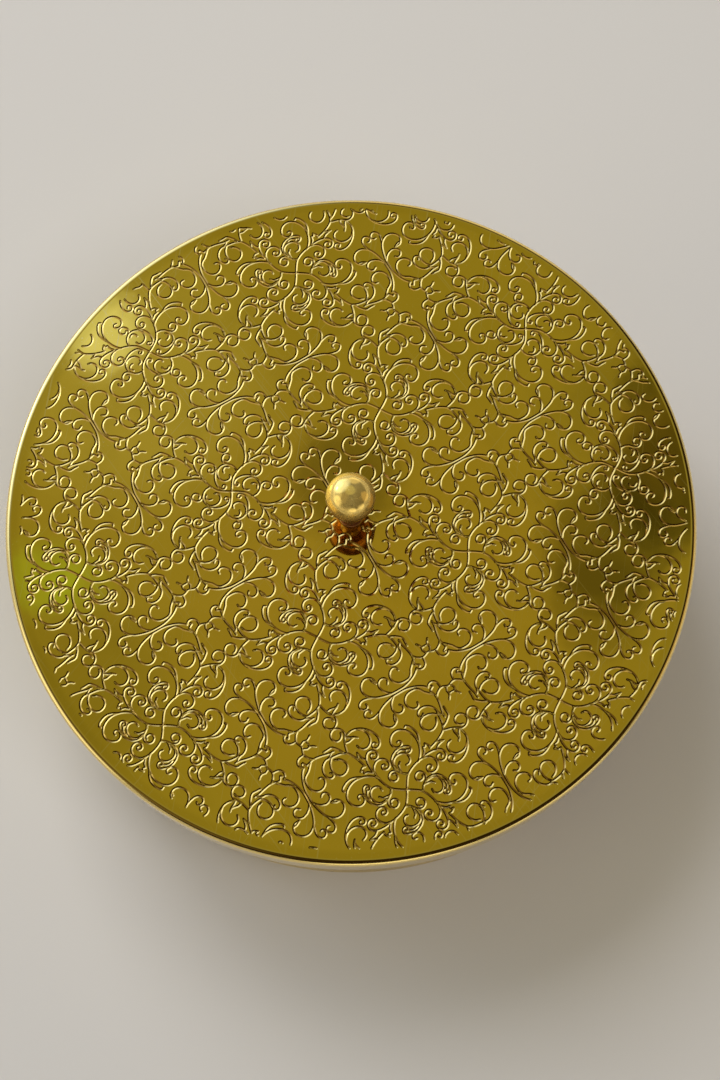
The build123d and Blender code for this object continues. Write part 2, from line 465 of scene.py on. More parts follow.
def polished_brass(name, light, dark, painted_shade_below):
    """Two-tone buffed brass with bumps and rings; painted shade, red and dark, below a height in
    mm.
    """
    material, tree, shader = new_finish(name)
    place = object_place(tree)
    _, height = lathe_coordinates(tree, place)
    # Painted shade: red and dark below the given height.
    below = between(tree, height, (painted_shade_below - SHADE_FADE) * MM, painted_shade_below * MM, 1.0, 0.0)
    buffed = mixed(tree, blotches(tree, place, *KNOB_CLOUDS), light, dark)
    set_inputs(tree, shader, {
        "Base Color": mixed(tree, below, buffed, RED_BRASS_AND_SHADE),
        "Metallic": WAXED_METAL,
        "Roughness": blotches(tree, place, *KNOB_SMEARS),
        "Coat Weight": WAX_COAT,
        "Coat Roughness": COAT_ROUGHNESS,
    })
    uneven = [dents(tree, place, *layer) for layer in (KNOB_DENTS, KNOB_RIPPLES)]
    bumped(tree, shader, uneven + [lathe_rings(tree, place, *KNOB_RINGS)])
    return material


def turned_metal(name, colours, clouds, uneven, rings, roughness):
    """Cloudy metal with dents and lathe rings, rougher on the rings' tops."""
    material, tree, shader = new_finish(name)
    place = object_place(tree)
    marks, height = lathe_rings(tree, place, *rings)
    set_inputs(tree, shader, {
        "Base Color": mixed(tree, blotches(tree, place, *clouds), *colours),
        "Roughness": between(tree, marks, *MARK_NOISE, *roughness),
    })
    layers = [dents(tree, place, *layer) for layer in uneven]
    bumped(tree, shader, layers + [(marks, height)])
    return material


def satin_brass():
    """Satin brass of the pan's outside."""
    return turned_metal(
        "satin_brass", (POLISHED, TARNISHED), PAN_CLOUDS, [PAN_DENTS], PAN_RINGS, PAN_ROUGHNESS
    )


# %% [markdown]
# The inside and the steel pieces are grey metals. Tin is soft and milky, brushed steel has long
# straight lines, and turned steel has rings. Only their colour, roughness and marks differ.

# %% Grey finishes
TIN_LIGHT = (0.74, 0.73, 0.70)
TIN_DARK = (0.55, 0.54, 0.52)
STEEL_LIGHT = (0.62, 0.62, 0.63)
STEEL_DARK = (0.42, 0.42, 0.44)
FLOOR_COLOUR = (0.68, 0.64, 0.60)

# Blotches, dents and rings are set as for the brass.
TIN_CLOUDS = (35.0, 5.0, 0.35, 0.7, 0.0, 1.0)
STEEL_CLOUDS = (500.0, 3.0, 0.35, 0.7, 0.0, 1.0)
TIN_DENTS = (120.0, 3.0, 0.03)
TIN_RINGS = (500.0, 0.01)
STEEL_RINGS = (3000.0, 0.004)
BRUSHED_LINES = 40.0               # to the metre
BRUSHED_DETAIL = 4.0
BRUSHED_STRETCH = (1, 60, 1)
BRUSHED_HEIGHT = 0.01              # mm
LINE_SHADE = (0.35, 0.7)           # noise where a brushed line is light and where it is dark
TIN_ROUGHNESS = (0.26, 0.42)
BRUSHED_ROUGHNESS = (0.24, 0.4)
STEEL_ROUGHNESS = (0.22, 0.4)
FLOOR_ROUGHNESS = 0.7


def tin():
    """Wiped tin on the inside of the pan."""
    material, tree, shader = new_finish("wiped_tin")
    place = object_place(tree)
    clouds = blotches(tree, place, *TIN_CLOUDS)
    set_inputs(tree, shader, {
        "Base Color": mixed(tree, clouds, TIN_LIGHT, TIN_DARK),
        "Roughness": between(tree, clouds, 0.0, 1.0, *TIN_ROUGHNESS),
    })
    rings = lathe_rings(tree, place, *TIN_RINGS)
    bumped(tree, shader, [dents(tree, place, *TIN_DENTS), rings])
    return material


def brushed_plate():
    """Steel sheet brushed in straight lines before it was punched."""
    material, tree, shader = new_finish("brushed_plate")
    place = object_place(tree)
    lines = noise(tree, place, BRUSHED_LINES, BRUSHED_DETAIL, stretch=BRUSHED_STRETCH)
    shade = between(tree, lines, *LINE_SHADE, 0.0, 1.0)
    set_inputs(tree, shader, {
        "Base Color": mixed(tree, shade, STEEL_LIGHT, STEEL_DARK),
        "Roughness": between(tree, lines, *MARK_NOISE, *BRUSHED_ROUGHNESS),
    })
    bumped(tree, shader, [(lines, BRUSHED_HEIGHT)])
    return material


def turned_steel():
    """Plain turned steel of the screw and its washers."""
    return turned_metal(
        "turned_steel", (STEEL_LIGHT, STEEL_DARK), STEEL_CLOUDS, [], STEEL_RINGS, STEEL_ROUGHNESS
    )


def floor_paint():
    """Plain pale floor, not metal."""
    material, tree, shader = new_finish("pale_floor")
    set_inputs(tree, shader, {
        "Base Color": opaque(FLOOR_COLOUR),
        "Metallic": 0.0,
        "Roughness": FLOOR_ROUGHNESS,
    })
    return material


print("finishes ready")

# %% [markdown]
# ## The scrolls
# The lid carries a traditional repeating scroll ornament. Every repeat is a square pinwheel: one
# quarter of it, turned four times, makes the whole. Neighbouring squares are mirror images of each
# other. So the engraver's drawing is only one quarter, a few dozen strokes, each a smooth line
# through the points where it changes its bend. An image would be quicker, but it would have no
# depth, and real grooves catch the light on one wall and lose it on the other.

# %% The strokes of one quarter, in millimetres from the middle of the pinwheel
QUARTER_STROKES = [
    [(0, 0), (1.2, 0.7), (3, 1.9), (4.4, 3.1), (5.3, 4.6), (6, 6.3), (6.5, 8.2), (6.7, 10),
     (6.4, 11.6), (5.7, 12.7), (4.6, 13.5), (3.2, 13.8), (1.8, 13.3), (0.9, 12.2), (0.7, 10.9),
     (1.2, 9.9), (2.2, 9.5), (3.2, 9.8), (3.6, 10.7), (3.1, 11.5), (2.3, 11.3), (2.2, 10.7)],
    [(6.7, 10.3), (7.1, 11.6), (7.2, 13), (7.1, 14.6), (6.8, 16), (6.1, 17.2), (4.9, 17.9),
     (3.5, 17.7), (2.6, 16.6), (2.7, 15.3), (3.7, 14.5), (4.8, 14.9), (5.1, 16), (4.4, 16.6),
     (3.8, 16.2)],
    [(6.3, 8.2), (7.2, 9.2), (8.8, 10.4), (10.8, 11.3), (13, 11.7), (15, 11.5), (16.7, 10.8),
     (18, 9.9), (19, 8.5), (19.4, 6.9), (19, 5.2), (17.9, 3.9), (16.3, 3.2), (14.9, 3.6),
     (14.1, 4.7), (14.2, 6), (15, 6.6), (15.8, 6.2), (15.8, 5.3)],
    [(11.5, 11.6), (13, 12.4), (15, 12.9), (17, 12.5), (18.5, 11.7), (19.3, 10.8)],
    [(19.3, 10.8), (18.9, 10.1)],
    [(7.3, 10.9), (8.5, 11.9), (9.9, 12.2)],
    [(9.9, 12.2), (9.7, 13), (10.7, 13.3)],
    [(10.7, 13.3), (9.5, 14.2), (8.4, 14.1)],
    [(8.4, 14.1), (8.9, 16), (9.6, 18), (10.5, 19.8), (11.6, 21.3), (13, 22), (14.8, 22.4),
     (17, 22.6), (18.8, 22.8), (20.4, 22), (21.5, 20.6), (21.9, 19), (21.6, 17.5), (20.6, 16.5),
     (19.5, 16.6), (19.2, 17.4), (19.9, 18.2)],
    [(16.4, 21.3), (15, 20.8), (13.9, 19.6), (13.4, 18.1), (13.9, 16.6), (15.2, 15.6),
     (16.8, 15.4), (18.2, 16.3), (18.9, 17.9), (18.8, 19.6), (18.2, 21.1), (17.2, 22.3)],
    [(7.2, 16.2), (7.9, 17.2), (8.2, 18.4), (8.4, 19.6)],
    [(8.4, 19.6), (8.8, 18.4), (9.3, 17.3)],
    [(11.3, 21.4), (10.9, 23.2), (10.3, 24.9), (9.5, 26.3), (8.8, 27.4), (9, 28.9), (9.9, 30.1),
     (11.3, 30.7), (12.7, 30.2), (13.6, 28.9), (13.4, 27.4), (12.3, 26.4), (11, 26.6),
     (10.1, 27.5), (9.9, 28.4)],
    [(8.8, 26.6), (7.2, 27.1), (5.3, 27.1), (3.4, 26.4), (1.6, 25), (0.2, 23.1), (-0.5, 21),
     (-0.3, 19.1), (0.6, 17.9), (1.8, 17.6), (2.7, 18.3), (2.5, 19.4), (1.6, 19.7), (1.1, 19)],
    [(4.3, 26.7), (2.9, 25.6), (2, 23.8), (2, 21.8), (2.8, 20.3), (4.3, 19.4), (5.9, 19.6),
     (6.9, 20.6), (7.2, 21.7)],
    [(9, 26.2), (8, 25.5), (6.8, 25), (5.6, 24)],
    [(10.2, 24.5), (8.9, 24.3), (7.6, 24.6), (6.6, 24.7)],
    [(12.6, 22.2), (13.3, 23.6), (14.4, 25), (15.5, 25.7), (17, 25.6), (18.4, 25.6)],
    [(15.2, 24.1), (17, 24.2), (19, 24.7), (21, 25.1), (22.8, 25.2), (24.3, 24.8), (25.5, 24.5)],
    [(25.5, 24.5), (26, 25.2), (26.5, 26), (26.9, 25.5)],
    [(16.2, 24), (17, 23.2), (18, 22.9)],
    [(22.6, 25.3), (23.7, 26.3), (24.5, 27.6), (24.6, 29), (24.1, 30.2), (23.9, 30.85)],
    [(19.6, 28.6), (20.5, 29.3), (21.5, 29.6), (22.6, 29.4), (23.8, 30)],
    [(21.5, 29.6), (21.5, 30.85)],
    [(30.3, 12), (30.4, 15), (30.3, 17.5), (29.6, 20.2), (28.7, 22.2), (27.6, 23.7),
     (26.9, 24.3)],
    [(26.9, 24.3), (27.8, 25.1), (28.1, 26.4), (27.4, 27.6), (26.2, 28.1), (24.8, 28.2)],
    [(24.3, 18.5), (23.2, 18.3), (22.7, 17.2), (23.2, 15.9), (24.5, 14.9), (26.1, 14.7),
     (27.6, 15.5), (28.6, 17), (28.8, 18.9), (28.5, 20.6), (27.4, 21.7), (26.2, 22.4),
     (25.2, 23.4), (24, 24.6)],
    [(26.7, 12.7), (25.7, 13.4), (24.6, 13.1), (24, 12.1), (24.2, 10.9), (25.1, 10), (26.5, 9.7),
     (28, 10.2), (29.2, 11.1), (30.2, 12.4)],
    [(30.3, 12), (29.8, 9.8), (29.1, 7.6), (28.2, 5.9), (26.9, 4.6), (25.2, 3.8), (23.4, 4),
     (21.9, 5.1), (21.2, 6.7), (21.6, 8.2), (22.7, 9.3), (24.6, 9.4)],
    [(21.9, 8.4), (23, 8.5), (24.6, 9.3)],
    [(28.1, 5.6), (27.6, 4.3), (27.3, 2.8), (27.5, 1.4), (28.4, 0.4), (29.5, 0.3), (30.4, 1.1),
     (30.5, 2.2), (29.8, 2.8), (29.1, 2.7)],
]
OPEN_HEART_STROKES = [
    [(4.5, 3.2), (5.3, 1.9), (6.2, 1.1), (7.3, 0.4), (8.6, 0), (10.2, 0), (11.7, 0.6),
     (12.8, 1.8), (13.5, 3.3), (13.7, 5), (13.4, 6.6), (12.7, 8), (11.6, 8.4), (10.7, 7.7),
     (10.7, 6.7), (11.5, 6.3), (12, 7), (11.6, 7.6)],
    [(7.5, 4.1), (7.5, 5.2), (8.3, 6.1), (9.5, 6.4), (10.6, 6.1), (11.5, 5.1), (11.9, 3.7),
     (11.7, 2.3), (10.9, 1.1), (9.7, 0.5), (8.4, 0.5), (7.4, 0.8)],
    [(6.2, 1.4), (7.4, 1.5), (8.6, 1.7), (9.5, 2.7)],
    [(12, 6.5), (12.7, 5.5), (12.9, 4.3), (12.5, 3.2)],
    [(-0.4, 7.2), (0.6, 7.9), (1.9, 8), (3.1, 7.1), (3.3, 5.8), (2.4, 4.7), (1.1, 4.7),
     (0.4, 5.7), (0.7, 6.8), (1.6, 7.1)],
]
CLOSED_HEART_STROKES = [
    [(5.3, 5), (6, 5.4), (7.5, 5.3), (8.8, 4.7), (9.8, 3.6), (10.3, 2.1), (10.1, 0.4),
     (9.1, -0.9), (7.5, -1.5), (5.9, -1.3), (4.8, -0.4), (4.4, 0.9), (4.7, 2), (5.7, 2.4)],
    [(9.9, 3.6), (10.7, 2.9), (11.8, 2.7), (12.9, 3.3), (13.5, 4.4), (13.1, 5.5), (12, 5.9),
     (11, 5.3), (10.8, 4.2), (11.5, 3.6)],
    [(8.5, 3.5), (9.2, 2.4), (8.6, 1.3), (7.6, 1)],
    [(10, 0.5), (9.7, -1), (8.4, -2.2), (6.6, -3.1), (4.8, -3.4), (3.4, -3.2), (2.3, -2.3),
     (2.2, -1.4), (2.9, -0.8), (3.6, -1.3), (3.2, -2)],
]
print("strokes in a quarter", len(QUARTER_STROKES))

# %% Lay the strokes out over the lid
PATTERN_PERIOD = 62.4         # mm from pinwheel to pinwheel
DRAWN_PERIOD = 61.7           # mm, the period that the strokes above were drawn at
PATTERN_TURN = 28.7           # degrees, first row of pinwheels
FIRST_PINWHEEL = Vector((11.8, 40.2))   # mm from the middle of the lid
CLOSED_HEARTS = {(-1, -1), (-1, 0), (1, 0), (1, 1)}
PATTERN_ROWS = range(-3, 4)
QUARTERS = 4
ENGRAVED_OUTSIDE = 120.2      # mm, radius of the engraving
BORDER_MIDDLE = Vector((0.8, 0.5))      # mm, the engraver's circle lies a little off the middle
ENGRAVED_INSIDE = 5.4         # mm, just outside the foot of the knob
LONGEST_STEP = 1.8            # mm along a stroke
TURN_STEP = math.radians(24)  # largest bend between two steps


def smooth_line(points, longest=LONGEST_STEP):
    """A line through the points, with closer steps where it bends more."""
    points = [Vector(point) for point in points]
    padded = [2 * points[0] - points[1]] + points + [2 * points[-1] - points[-2]]
    line = []
    for before, first, last, after in zip(padded, padded[1:], padded[2:], padded[3:]):
        length = (last - first).length
        bend = (last - before).angle(after - first)
        steps = max(1, math.ceil(length / longest), math.ceil(bend / TURN_STEP))
        for step in range(steps):
            t = step / steps
            line.append(0.5 * (
                2 * first + (last - before) * t
                + (2 * before - 5 * first + 4 * last - after) * t * t
                + (3 * first - before - 3 * last + after) * t * t * t
            ))
    line.append(points[-1])
    return line


def is_engraved(point):
    """True between the knob's foot and the plain border."""
    return point.length > ENGRAVED_INSIDE and (point - BORDER_MIDDLE).length < ENGRAVED_OUTSIDE


def parts_inside(line):
    """The stretches of a line that lie between the knob's foot and the plain border."""
    parts = [[]]
    for point in line:
        if is_engraved(point):
            parts[-1].append(point)
        elif parts[-1]:
            parts.append([])
    return [part for part in parts if len(part) > 1]


def pinwheel_lines(column, row):
    """Every line of one pinwheel, placed on the lid."""
    along = Matrix.Rotation(math.radians(PATTERN_TURN), 2)
    middle = FIRST_PINWHEEL + along @ Vector((column, -row)) * PATTERN_PERIOD
    hearts = CLOSED_HEART_STROKES if (column, row) in CLOSED_HEARTS else OPEN_HEART_STROKES
    mirror = -1 if (column + row) % 2 else 1
    scale = PATTERN_PERIOD / DRAWN_PERIOD
    lines = []
    for stroke in QUARTER_STROKES + hearts:
        line = smooth_line(stroke)
        for quarter in range(QUARTERS):
            quarter_turn = Matrix.Rotation(quarter * math.pi / 2, 2)
            turned_line = [quarter_turn @ point * scale for point in line]
            placed = [
                middle + along @ Vector((mirror * point.x, point.y)) for point in turned_line
            ]
            lines += parts_inside(placed)
    return lines


engraved_lines = []
for column in PATTERN_ROWS:
    for row in PATTERN_ROWS:
        engraved_lines += pinwheel_lines(column, row)
print("engraved lines", len(engraved_lines))

# %% [markdown]
# ## Cutting the grooves
# A graver leaves a narrow groove with two sloping walls. It could be cut with a boolean, but
# thousands of crossing cutters are slow and fail easily. A flat triangulation is safe: the edges
# and the bottom of every groove become lines that the triangles must follow, crossings included,
# and each point then sinks by how near it is to the bottom of the nearest groove. The walls stay
# sharp against the flat brass, which stays perfectly flat.

# %% Triangulate the engraved face
GROOVE_WIDTH = 0.96           # mm
GROOVE_CUT = 0.21             # mm deep
GROOVE_END_STEPS = 3          # facets round the end of a groove
BOTTOM_STEP = 0.15            # mm between the points that measure how near a groove is
RIM_FACETS = 288
FACE_OUTSIDE = 122.4          # mm, where the engraved face meets the spun rim
FACE_INSIDE = 4.0             # mm, under the knob's foot
POINT_MERGE = 0.01            # mm
EDGE_SHARE = 0.86             # keeps the straight chords round a groove's end at the surface
WALL = GROOVE_WIDTH / 2 * EDGE_SHARE


def groove_outline(line):
    """The closed edge of one groove: along one side, round the end and back."""
    left, right = both_sides(line, GROOVE_WIDTH)
    return left + round_end(line[-1], left[-1]) + right[::-1] + round_end(line[0], right[0])


def round_end(middle, start):
    """Points round the end of a groove, clockwise from a point at its edge."""
    spoke = start - middle
    points = []
    for step in range(1, GROOVE_END_STEPS):
        turned_spoke = Matrix.Rotation(-math.pi * step / GROOVE_END_STEPS, 2) @ spoke
        points.append(middle + turned_spoke)
    return points


def ring(radius):
    """Evenly spaced points round a circle, where the spun rim has its points."""
    angles = [2 * math.pi * step / RIM_FACETS for step in range(RIM_FACETS)]
    return [Vector((radius * math.cos(angle), radius * math.sin(angle))) for angle in angles]


def add_line(points, edges, line, closed):
    """Adds a line to the points and edges that the triangles have to follow."""
    first = len(points)
    points += line
    edges += [(first + step, first + step + 1) for step in range(len(line) - 1)]
    if closed:
        edges.append((len(points) - 1, first))


def groove_bottoms():
    """A search tree of points close together along the bottom of every groove."""
    bottoms = []
    for line in engraved_lines:
        for before, after in zip(line, line[1:]):
            count = math.ceil((after - before).length / BOTTOM_STEP)
            bottoms += [before.lerp(after, step / count) for step in range(count)]
        bottoms.append(line[-1])
    tree = KDTree(len(bottoms))
    for index, point in enumerate(bottoms):
        tree.insert(point.to_3d(), index)
    tree.balance()
    return tree


def groove_depth(point, tree):
    """How deep the brass is cut at a point: nothing at the edge, most at the bottom."""
    distance = tree.find(point.to_3d())[2]
    return GROOVE_CUT * max(0.0, 1 - distance / WALL)


points = []
edges = []
for line in engraved_lines:
    add_line(points, edges, line, closed=False)
    add_line(points, edges, groove_outline(line), closed=True)
add_line(points, edges, ring(FACE_OUTSIDE), closed=True)
add_line(points, edges, ring(FACE_INSIDE), closed=True)
face_points, _, face_triangles, _, _, _ = delaunay_2d_cdt(
    points, edges, [], 0, POINT_MERGE, False
)
print("engraved face", len(face_points), "points", len(face_triangles), "triangles")

# %% [markdown]
# ## The lid
# The lid is one sheet: a flat top, a rounded edge and a skirt that drops over the lip of the pan.
# Edge and skirt are spun from their bent middle line. The engraved face closes them on top, and
# the two meet point by point on one ring, so the sheet has no seam.

# %% The lid sheet
LID_SHEET = 0.7               # mm, all the sizes below too
LID_RADIUS = 124.96           # a hair inside the construction model's facets
EDGE_RADIUS = 2.1             # outside of the rounded edge
SKIRT_DEPTH = 15.0
SCREW_HOLE_RADIUS = 2.15
SEAM_MERGE = 0.02
LID_SHARP = 30                # degrees, above which an edge is sharp
FLAT = 0.99999                # upward part of the normal of the flat brass


def lid_outline():
    """The rim's outline from the engraved face, round the skirt and back to the screw hole."""
    half_sheet = LID_SHEET / 2
    flat = LID_TOP - half_sheet
    skirt = LID_RADIUS - half_sheet
    corners = [(0, flat), (skirt, flat), (skirt, LID_TOP - SKIRT_DEPTH)]
    line = bent_line(corners, [EDGE_RADIUS - half_sheet])
    top, underside = both_sides(line, LID_SHEET)
    hole_edge = [
        (SCREW_HOLE_RADIUS, LID_TOP - LID_SHEET),
        (SCREW_HOLE_RADIUS, LID_TOP),
        (FACE_INSIDE, LID_TOP),
    ]
    return [(FACE_OUTSIDE, LID_TOP)] + top[1:] + underside[:0:-1] + hole_edge


def on_a_seam(vert):
    """True where the engraved face meets the spun rim or the ring under the knob's foot."""
    radius = vert.co.xy.length / MM
    return min(abs(radius - FACE_OUTSIDE), abs(radius - FACE_INSIDE)) < SEAM_MERGE


def sharpen_grooves(mesh):
    """Makes every edge between the flat brass and a groove sharp, however shallow the wall."""
    beside_flat = set()
    beside_wall = set()
    for polygon in mesh.polygons:
        if polygon.center.xy.length < FACE_OUTSIDE * MM:
            edges = {mesh.loops[loop].edge_index for loop in polygon.loop_indices}
            beside = beside_flat if polygon.normal.z > FLAT else beside_wall
            beside.update(edges)
    for edge in beside_flat & beside_wall:
        mesh.edges[edge].use_edge_sharp = True


def make_lid():
    """The whole lid sheet: the spun rim closed by the engraved face."""
    shape = spun(lid_outline(), RIM_FACETS)
    tree = groove_bottoms()
    verts = [
        shape.verts.new((point.x * MM, point.y * MM, (LID_TOP - groove_depth(point, tree)) * MM))
        for point in face_points
    ]
    under_foot = [point.length < FACE_INSIDE + POINT_MERGE for point in face_points]
    for corners in face_triangles:
        if not all(under_foot[corner] for corner in corners):
            shape.faces.new([verts[corner] for corner in corners])
    bmesh.ops.delete(
        shape, geom=[vert for vert in shape.verts if not vert.link_faces], context="VERTS"
    )
    seam = [vert for vert in shape.verts if on_a_seam(vert)]
    bmesh.ops.remove_doubles(shape, verts=seam, dist=SEAM_MERGE * MM)
    bmesh.ops.recalc_face_normals(shape, faces=shape.faces[:])
    open_edges = sum(1 for edge in shape.edges if not edge.is_manifold)
    print("open edges in the lid", open_edges)
    sheet = finished(
        "lid_engraved_sheet", shape, "lid", ["lid_pan"],
        [engraved_brass()], LID_SHARP,
    )
    sharpen_grooves(sheet.data)


make_lid()

# %% [markdown]
# ## The knob
# The ball is turned and polished bright. A round ball could be a stock sphere, but the real one
# has a flat seat and a hole for the stem's spigot, so it is spun from its own outline, like the
# stem: a thin foot on the lid, a neck that narrows to a waist, and a collar under the ball.

# %% Ball and stem
BALL_RADIUS = 8.75            # mm, all the sizes below too
BALL_CENTRE = 106.25
BALL_SHADE_START = 3.0          # above the ball's centre, where the painted shade on its underside starts
BALL_SEAT_RADIUS = 3.8
SPIGOT_RADIUS = 2.3
SPIGOT_LENGTH = 6.0
SPIGOT_CLEARANCE = 0.02
SPIGOT_END_GAP = 0.5
FOOT_RADIUS = 4.5
FOOT_THICKNESS = 1.2
FOOT_ROUND = 0.4
FOOT_CORNER = 0.01            # the sharp corner where the foot meets the lid
NECK = [(3.9, 1.2), (3.2, 6.0), (2.4, 10.8), (3.8, 14.47)]   # radius and height over the lid
NECK_STEP = 0.4
STEM_HOLE_RADIUS = 2.02
STEM_HOLE_DEPTH = 6.2
KNOB_FACETS = 128
KNOB_SHARP = 35               # degrees


def make_ball():
    """The ball with its flat seat and the blind hole for the spigot."""
    seat_angle = -math.acos(BALL_SEAT_RADIUS / BALL_RADIUS)
    centre = Vector((0, BALL_CENTRE))
    top_angle = math.pi / 2
    outline = arc_points(
        centre, BALL_RADIUS, top_angle, seat_angle - top_angle, KNOB_FACETS // 2
    )
    seat = outline[-1].y
    hole_radius = SPIGOT_RADIUS + SPIGOT_CLEARANCE
    hole_top = seat + SPIGOT_LENGTH + SPIGOT_END_GAP
    outline += [(hole_radius, seat), (hole_radius, hole_top), (0, hole_top)]
    shape = spun(outline, KNOB_FACETS)
    # From just above its middle downwards the ball is painted red and dark: painted shade on its
    # underside.
    brass = polished_brass("ball_brass", BUFFED, BUFFED_DULL, BALL_CENTRE + BALL_SHADE_START)
    finished("knob_turned_ball", shape, "lid", ["knob_ball"], [brass], KNOB_SHARP)


def make_stem():
    """The turned spool that lifts the ball off the lid."""
    seat = BALL_CENTRE - math.sqrt(BALL_RADIUS ** 2 - BALL_SEAT_RADIUS ** 2) - LID_TOP
    foot = bent_line(
        [(STEM_HOLE_RADIUS, 0), (FOOT_RADIUS, 0), (FOOT_RADIUS, FOOT_THICKNESS), NECK[0]],
        [FOOT_CORNER, FOOT_ROUND],
    )
    outline = foot[:-1] + smooth_line(NECK, NECK_STEP)
    outline += [
        Vector((BALL_SEAT_RADIUS, seat)),
        Vector((SPIGOT_RADIUS, seat)),
        Vector((SPIGOT_RADIUS, seat + SPIGOT_LENGTH)),
        Vector((0, seat + SPIGOT_LENGTH)),
    ]
    hole = [Vector((0, STEM_HOLE_DEPTH)), Vector((STEM_HOLE_RADIUS, STEM_HOLE_DEPTH))]
    outline = hole + outline
    shape = spun([(point.x, point.y + LID_TOP) for point in outline], KNOB_FACETS)
    # The stem's dark red is partly its own red brass and partly painted shade under the ball.
    brass = polished_brass("stem_brass", RED_BRASS_AND_SHADE, TARNISHED, LID_TOP)
    finished("knob_turned_stem", shape, "lid", ["knob_stem"], [brass], KNOB_SHARP)


make_ball()
make_stem()

# %% [markdown]
# ## The pan
# The pan is drawn from one sheet: a floor that is pressed up in the middle so that it doesn't
# rock, a flat ring that it stands on, a plain wall and a lip rolled outwards so that the edge
# doesn't cut. Outside it is satin brass; inside it is tinned, as brass that holds food is.

# %% Pan
PAN_RADIUS = 120.8            # mm, all the sizes below too
PAN_HEIGHT = 82.15
PAN_SHEET = 0.7
LIP_RADIUS = 1.9
LIP_TURN = math.radians(285)
PAN_CORNER = 4.0
FLOOR_RISE = 1.0
STANDING_RING = 14.0
FLOOR_STEP = 3.0
FLOOR_BEND = 2.0
PAN_FACETS = 288
PAN_SHARP = 40                # degrees
LOOKS_IN = 0.5                # sum of a normal's upward and inward parts, for an inner face
BRASS_FACE = 0
TINNED_FACE = 1


def pan_outline():
    """The pan's outline: inside from the middle of the floor to the lip, outside back."""
    half_sheet = PAN_SHEET / 2
    wall = PAN_RADIUS - half_sheet
    ring_inside = PAN_RADIUS - PAN_CORNER - STANDING_RING
    lip_centre = Vector((PAN_RADIUS - PAN_SHEET + LIP_RADIUS, PAN_HEIGHT - LIP_RADIUS))
    corners = [
        (0, FLOOR_RISE + half_sheet),
        (ring_inside - FLOOR_STEP, FLOOR_RISE + half_sheet),
        (ring_inside, half_sheet),
        (wall, half_sheet),
        (wall, lip_centre.y),
    ]
    line = bent_line(corners, [FLOOR_BEND, FLOOR_BEND, PAN_CORNER - half_sheet])
    line += arc_points(lip_centre, LIP_RADIUS - half_sheet, math.pi, -LIP_TURN)[1:]
    inside, outside = both_sides(line, PAN_SHEET)
    return inside + outside[::-1]


def is_tinned(face):
    """True for the faces that look into the pan, below its lip."""
    middle = face.calc_center_median()
    outward = Vector((middle.x, middle.y, 0)).normalized()
    looks_in = face.normal.z - face.normal.dot(outward) > LOOKS_IN
    return looks_in and middle.z < (PAN_HEIGHT - LIP_RADIUS) * MM


def make_pan():
    """The pan, with a tinned inside."""
    shape = spun(pan_outline(), PAN_FACETS)
    for face in shape.faces:
        face.material_index = TINNED_FACE if is_tinned(face) else BRASS_FACE
    finished(
        "drawn_pan", shape, "box", ["body_pan"],
        [satin_brass(), tin()], PAN_SHARP,
    )


make_pan()

# %% [markdown]
# ## Steel pieces
# The steam plate, the screw and the two washers already have their real shape in the
# construction model, holes, slot and slit included. Modelling them again would add nothing, so
# they keep their meshes and only get their finish: brushed plate and plain turned steel.

# %% Finish the steel pieces
def give_finish(node, material):
    """Puts one material on a piece of the construction model."""
    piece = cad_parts[node]
    for place in piece.material_slots:
        place.material = material
    print(node, "is now", material.name)


give_finish("steam_plate", brushed_plate())
fastener_finish = turned_steel()
for fastener in ("knob_screw", "flat_washer", "spring_washer"):
    give_finish(fastener, fastener_finish)

# %% [markdown]
# ## Floor, light and room
# The photograph was taken near a window to the upper left. A studio gives the same with a large
# soft light on that side, a weaker one opposite that fills the shadow, and a room all round. A
# polished lid is a mirror, so the room matters as much as the lights. The flat of the lid mirrors
# only a small piece of the ceiling, so this piece has its own bright and dark places. The walls of
# the grooves mirror the window on one side and the dim upper part of the room on the other, and
# the rounded rim mirrors the pale foot of the walls as a thin bright line. The light parts are
# added up first; then the shades take their share.

# %% Floor
FLOOR_RADIUS = 15000.0        # mm, so far that its edge is the horizon
FLOOR_CORNERS = 96


def make_floor():
    """A plain pale floor under the standing ring of the pan."""
    shape = bmesh.new()
    bmesh.ops.create_circle(
        shape, cap_ends=True, segments=FLOOR_CORNERS, radius=FLOOR_RADIUS * MM
    )
    floor = placed_object("studio_floor", shape, [floor_paint()])


make_floor()
print("floor radius", FLOOR_RADIUS, "mm")

# %% Light
LIGHT_SIZE = 700.0            # mm
LIGHT_DISTANCE = 1500.0       # mm
LIGHTS = [
    # name, degrees from +X, degrees above the floor, watts
    ("window_light", 118.0, 50.0, 9.5),
    ("fill_light", -50.0, 65.0, 5.5),
]


def make_soft_light(name, turned, raised, power):
    """A large soft light that aims at the lid. The brass mirrors the room, not the light."""
    data = bpy.data.lights.new(name, "AREA")
    data.shape = "SQUARE"
    data.size = LIGHT_SIZE * MM
    data.energy = power
    light = bpy.data.objects.new(name, data)
    light.visible_glossy = False
    bpy.context.scene.collection.objects.link(light)
    turned_place = turn(turned, "Z") @ turn(90 - raised, "Y")
    light.matrix_world = (
        Matrix.Translation((0, 0, LID_TOP * MM)) @ turned_place
        @ Matrix.Translation((0, 0, LIGHT_DISTANCE * MM))
    )
    return light


for light_setting in LIGHTS:
    print("light", make_soft_light(*light_setting).name)

